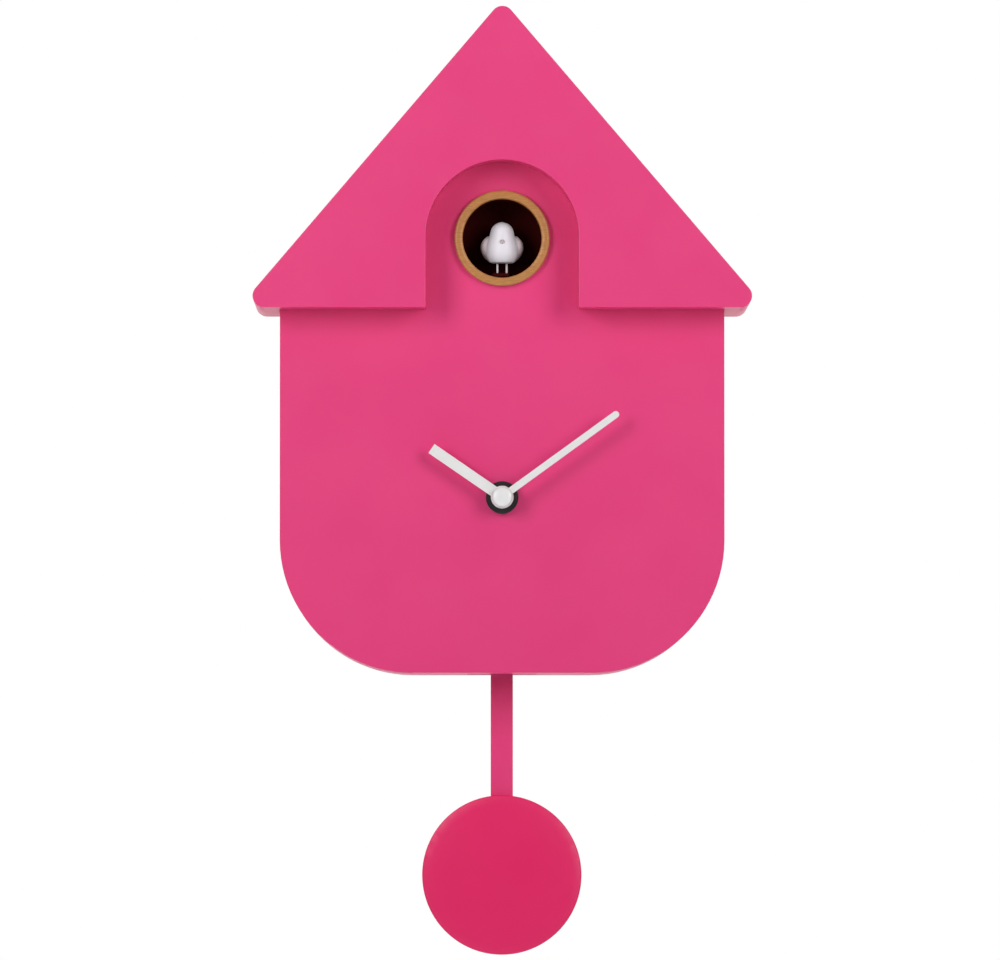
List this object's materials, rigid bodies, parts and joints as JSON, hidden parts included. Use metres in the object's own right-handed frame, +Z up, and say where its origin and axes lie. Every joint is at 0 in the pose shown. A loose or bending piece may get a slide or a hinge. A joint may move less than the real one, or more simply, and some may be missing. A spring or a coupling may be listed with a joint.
{
  "type": "cuckoo clock",
  "caption": "House-shaped pendulum wall clock with a gabled roof front, an arched recess and round hole for a sliding cuckoo, two hands and a disc pendulum.",
  "frame": {"origin": "centre of the round part of the keyhole hanger, on the back cover's outer face", "axes": "+Z up, -Y towards the room (the dial faces -Y), +Y into the wall, +X to the viewer's right"},
  "size_m": [0.215, 0.08, 0.4088],
  "materials": {
    "pink_plastic": "satin",
    "bob_plastic": "satin",
    "back_plastic": "satin",
    "ring_gold": "satin",
    "tunnel_dark": "matte",
    "bird_white": "satin",
    "bird_pink": "satin",
    "beak_grey": "satin",
    "hand_white": "satin",
    "black_plastic": "satin",
    "black_rubber": "matte",
    "white_plastic": "satin",
    "brass": "satin",
    "steel": "satin",
    "bird_wire": "satin",
    "magnet_steel": "satin",
    "copper_wire": "gloss",
    "board_green": "gloss",
    "cell_jacket": "gloss",
    "speaker_paper": "matte"
  },
  "bodies": {
    "housing": {"body_shell": "pink_plastic", "roof_shell": "pink_plastic", "back_cover": "back_plastic", "cover_screws": "steel", "roof_screws": "steel", "bird_ring": "ring_gold", "bird_tunnel": "tunnel_dark", "cuckoo_shelf": "white_plastic", "shelf_screws": "steel", "pinion_axle": "steel", "cuckoo_motor": "steel", "movement_case": "white_plastic", "movement_cover": "white_plastic", "bush_washer": "black_rubber", "threaded_bush": "brass", "dial_nut": "black_plastic", "stepper_stator": "steel", "stepper_coil": "copper_wire", "quartz_board": "board_green", "clock_cell": "cell_jacket", "clock_contacts": "steel", "pendulum_bracket": "white_plastic", "bracket_screws": "steel", "pivot_pin": "steel", "drive_coil": "copper_wire", "battery_tray": "black_plastic", "sound_cells": "cell_jacket", "cell_contacts": "steel", "speaker_basket": "black_plastic", "speaker_cone": "speaker_paper", "speaker_magnet": "magnet_steel", "sound_board": "board_green", "board_parts": "black_plastic", "board_screws": "steel", "switch_case": "steel"},
    "hour_set": {"hour_wheel": "white_plastic", "hour_hand": "hand_white"},
    "minute_set": {"minute_arbor": "steel", "minute_hand": "hand_white", "hand_cap": "hand_white"},
    "motion_set": {"motion_wheel": "white_plastic"},
    "third_set": {"third_wheel": "white_plastic"},
    "knob_set": {"setting_knob": "black_plastic"},
    "rotor_set": {"stepper_rotor": "magnet_steel"},
    "bird_set": {"bird_body": "bird_white", "bird_wings": "bird_pink", "bird_beak": "beak_grey", "bird_legs": "bird_wire", "bird_carriage": "tunnel_dark"},
    "pinion_set": {"rack_pinion": "white_plastic"},
    "motor_pinion_set": {"motor_pinion": "brass"},
    "pendulum": {"pendulum_hanger": "white_plastic", "pendulum_magnet": "magnet_steel", "pendulum_rod": "pink_plastic", "pendulum_bob": "bob_plastic", "bob_screws": "steel"},
    "battery_door_set": {"battery_door": "back_plastic"},
    "switch_set": {"sound_switch": "black_plastic"}
  },
  "joints": [
    {"name": "minute_turn", "type": "hinge", "parent": "housing", "child": "minute_set", "pos_m": [0, -0.07, -0.1814], "axis": [0, 1, 0], "continuous": true},
    {"name": "hour_turn", "type": "hinge", "parent": "housing", "child": "hour_set", "pos_m": [0, -0.068, -0.1814], "axis": [0, 1, 0], "continuous": true},
    {"name": "motion_turn", "type": "hinge", "parent": "housing", "child": "motion_set", "pos_m": [-0.00786, -0.054, -0.18691], "axis": [0, 1, 0], "continuous": true},
    {"name": "third_turn", "type": "hinge", "parent": "housing", "child": "third_set", "pos_m": [0.00727, -0.05, -0.1856], "axis": [0, 1, 0], "continuous": true},
    {"name": "knob_turn", "type": "hinge", "parent": "housing", "child": "knob_set", "pos_m": [-0.01115, -0.042, -0.19593], "axis": [0, 1, 0], "continuous": true},
    {"name": "rotor_turn", "type": "hinge", "parent": "housing", "child": "rotor_set", "pos_m": [0.018, -0.0475, -0.1964], "axis": [0, 1, 0], "continuous": true},
    {"name": "bird_slide", "type": "slide", "parent": "housing", "child": "bird_set", "axis": [0, -1, 0], "range_m": [0, 0.024]},
    {"name": "pinion_turn", "type": "hinge", "parent": "housing", "child": "pinion_set", "pos_m": [0.008, -0.031, -0.086], "axis": [0, 0, 1], "range_deg": [0, 360]},
    {"name": "motor_turn", "type": "hinge", "parent": "housing", "child": "motor_pinion_set", "pos_m": [0.0175, -0.031, -0.084], "axis": [0, 0, 1], "range_deg": [-1350, 0]},
    {"name": "pendulum_swing", "type": "hinge", "parent": "housing", "child": "pendulum", "pos_m": [0, -0.031, -0.218], "axis": [0, 1, 0], "range_deg": [-8, 8]},
    {"name": "battery_door_swing", "type": "hinge", "parent": "housing", "child": "battery_door_set", "pos_m": [-0.063, -0.00125, -0.157], "axis": [1, 0, 0], "range_deg": [0, 100]},
    {"name": "sound_switch_slide", "type": "slide", "parent": "housing", "child": "switch_set", "axis": [1, 0, 0], "range_m": [0, 0.004]}
  ],
  "couplings": [
    {"joint": "hour_turn", "follows": "minute_turn", "ratio": 0.083333},
    {"joint": "motion_turn", "follows": "minute_turn", "ratio": -0.33333},
    {"joint": "third_turn", "follows": "minute_turn", "ratio": -6},
    {"joint": "knob_turn", "follows": "minute_turn", "ratio": 1},
    {"joint": "pinion_turn", "follows": "bird_slide", "rad_per_m": 250},
    {"joint": "motor_turn", "follows": "bird_slide", "rad_per_m": -937.5}
  ]
}
